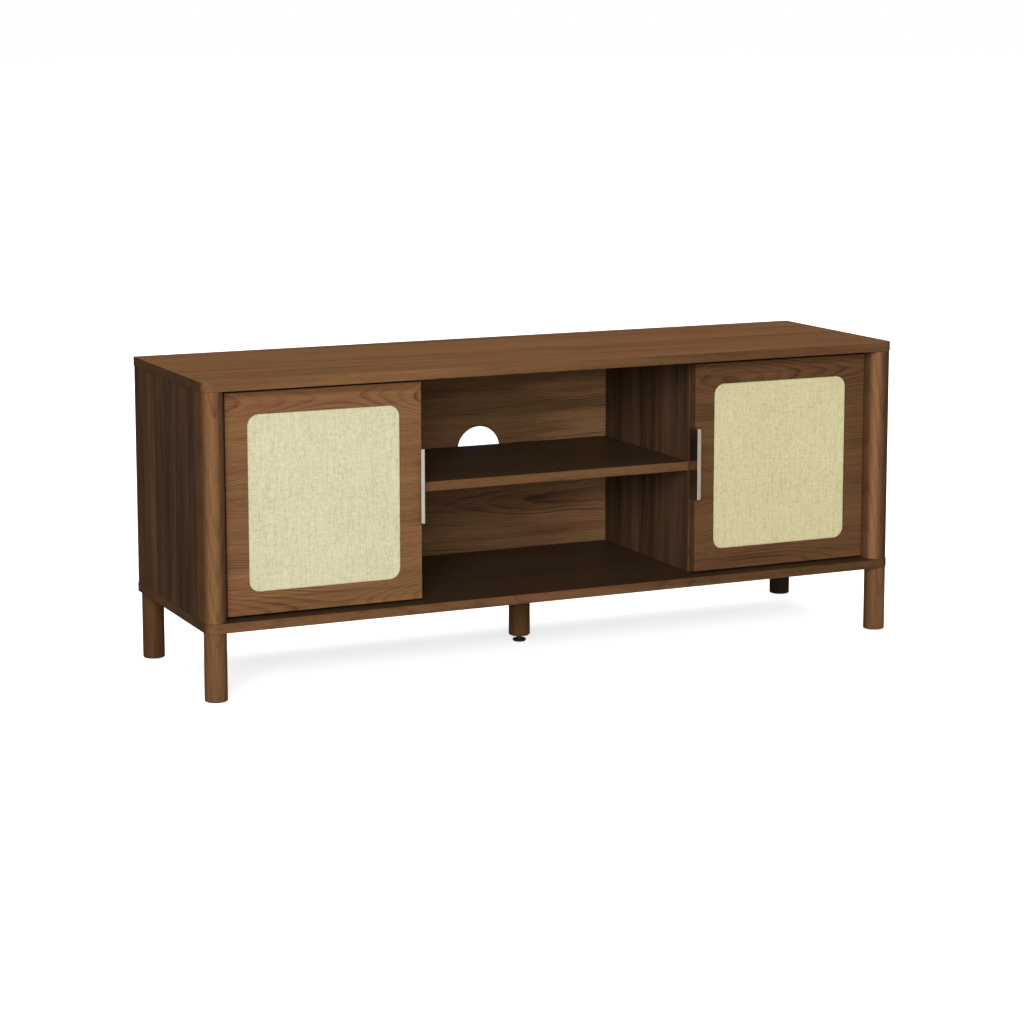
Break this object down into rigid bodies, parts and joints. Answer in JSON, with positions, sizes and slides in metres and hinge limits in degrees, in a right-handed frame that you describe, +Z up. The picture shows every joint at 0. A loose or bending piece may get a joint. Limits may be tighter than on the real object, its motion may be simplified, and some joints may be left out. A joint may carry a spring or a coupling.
{
  "type": "tv stand with doors",
  "caption": "Low walnut-look TV stand with hinged doors with woven inserts at both ends, an open bay with a shelf and cable hole between them, and round legs.",
  "frame": {"origin": "on the floor under the middle of the stand", "axes": "+X to the right seen from the front, +Y to the back, +Z up"},
  "size_m": [1.198, 0.35, 0.486],
  "materials": {
    "walnut_top": "satin laminate, walnut look",
    "walnut_bottom": "satin laminate, walnut look",
    "walnut_shelf": "satin laminate, walnut look",
    "walnut_back": "satin laminate, walnut look",
    "walnut_upright": "satin laminate, walnut look",
    "walnut_post": "satin laminate, walnut look",
    "walnut_door": "satin laminate, walnut look",
    "walnut_leg": "satin walnut stain",
    "woven_cane": "fine matt weave",
    "fibreboard": "raw fibreboard",
    "satin_steel": "satin",
    "nickel_plate": "nickel plated",
    "bright_steel": "polished",
    "catch_plastic": "moulded",
    "magnet_steel": "plated",
    "buffer_rubber": "matt",
    "zinc_steel": "zinc plated",
    "dark_screw": "black oxide",
    "cam_zinc": "die-cast zinc",
    "beech": "raw",
    "foot_plastic": "moulded"
  },
  "bodies": {
    "cabinet": {"back_panel": "walnut_back", "back_screws": "dark_screw", "bottom_panel": "walnut_bottom", "cam_bolts": "zinc_steel", "cam_locks": "cam_zinc", "centre_leg": "walnut_leg", "centre_shelf": "walnut_shelf", "dowels": "beech", "foot_sleeve": "zinc_steel", "front_left_leg": "walnut_leg", "front_right_leg": "walnut_leg", "hanger_bolts": "zinc_steel", "left_cabinet_screws": "zinc_steel", "left_catch_body": "catch_plastic", "left_catch_magnet": "magnet_steel", "left_corner_post": "walnut_post", "left_cupboard_shelf": "walnut_shelf", "left_divider": "walnut_upright", "left_hinge_arms": "nickel_plate", "left_hinge_plates": "nickel_plate", "left_side_panel": "walnut_upright", "leg_inserts": "zinc_steel", "rear_left_leg": "walnut_leg", "rear_right_leg": "walnut_leg", "right_cabinet_screws": "zinc_steel", "right_catch_body": "catch_plastic", "right_catch_magnet": "magnet_steel", "right_corner_post": "walnut_post", "right_cupboard_shelf": "walnut_shelf", "right_divider": "walnut_upright", "right_hinge_arms": "nickel_plate", "right_hinge_plates": "nickel_plate", "right_side_panel": "walnut_upright", "shelf_pins": "zinc_steel", "top_panel": "walnut_top"},
    "left_door": {"left_catch_strike": "nickel_plate", "left_door_buffers": "buffer_rubber", "left_door_panel": "walnut_door", "left_door_screws": "zinc_steel", "left_handle": "satin_steel", "left_hinge_cups": "nickel_plate", "left_hinge_pins": "bright_steel", "left_insert_backing": "fibreboard", "left_woven_insert": "woven_cane"},
    "right_door": {"right_catch_strike": "nickel_plate", "right_door_buffers": "buffer_rubber", "right_door_panel": "walnut_door", "right_door_screws": "zinc_steel", "right_handle": "satin_steel", "right_hinge_cups": "nickel_plate", "right_hinge_pins": "bright_steel", "right_insert_backing": "fibreboard", "right_woven_insert": "woven_cane"},
    "foot": {"levelling_foot": "foot_plastic"}
  },
  "joints": [
    {"name": "left_door_swing", "type": "hinge", "parent": "cabinet", "child": "left_door", "pos_m": [-0.5425, -0.1415, 0.29475], "axis": [0, 0, -1], "range_deg": [0, 90]},
    {"name": "right_door_swing", "type": "hinge", "parent": "cabinet", "child": "right_door", "pos_m": [0.5425, -0.1415, 0.29475], "axis": [0, 0, 1], "range_deg": [0, 90]},
    {"name": "foot_screw", "type": "slide", "parent": "cabinet", "child": "foot", "axis": [0, 0, 1], "range_m": [0, 0.004]}
  ]
}
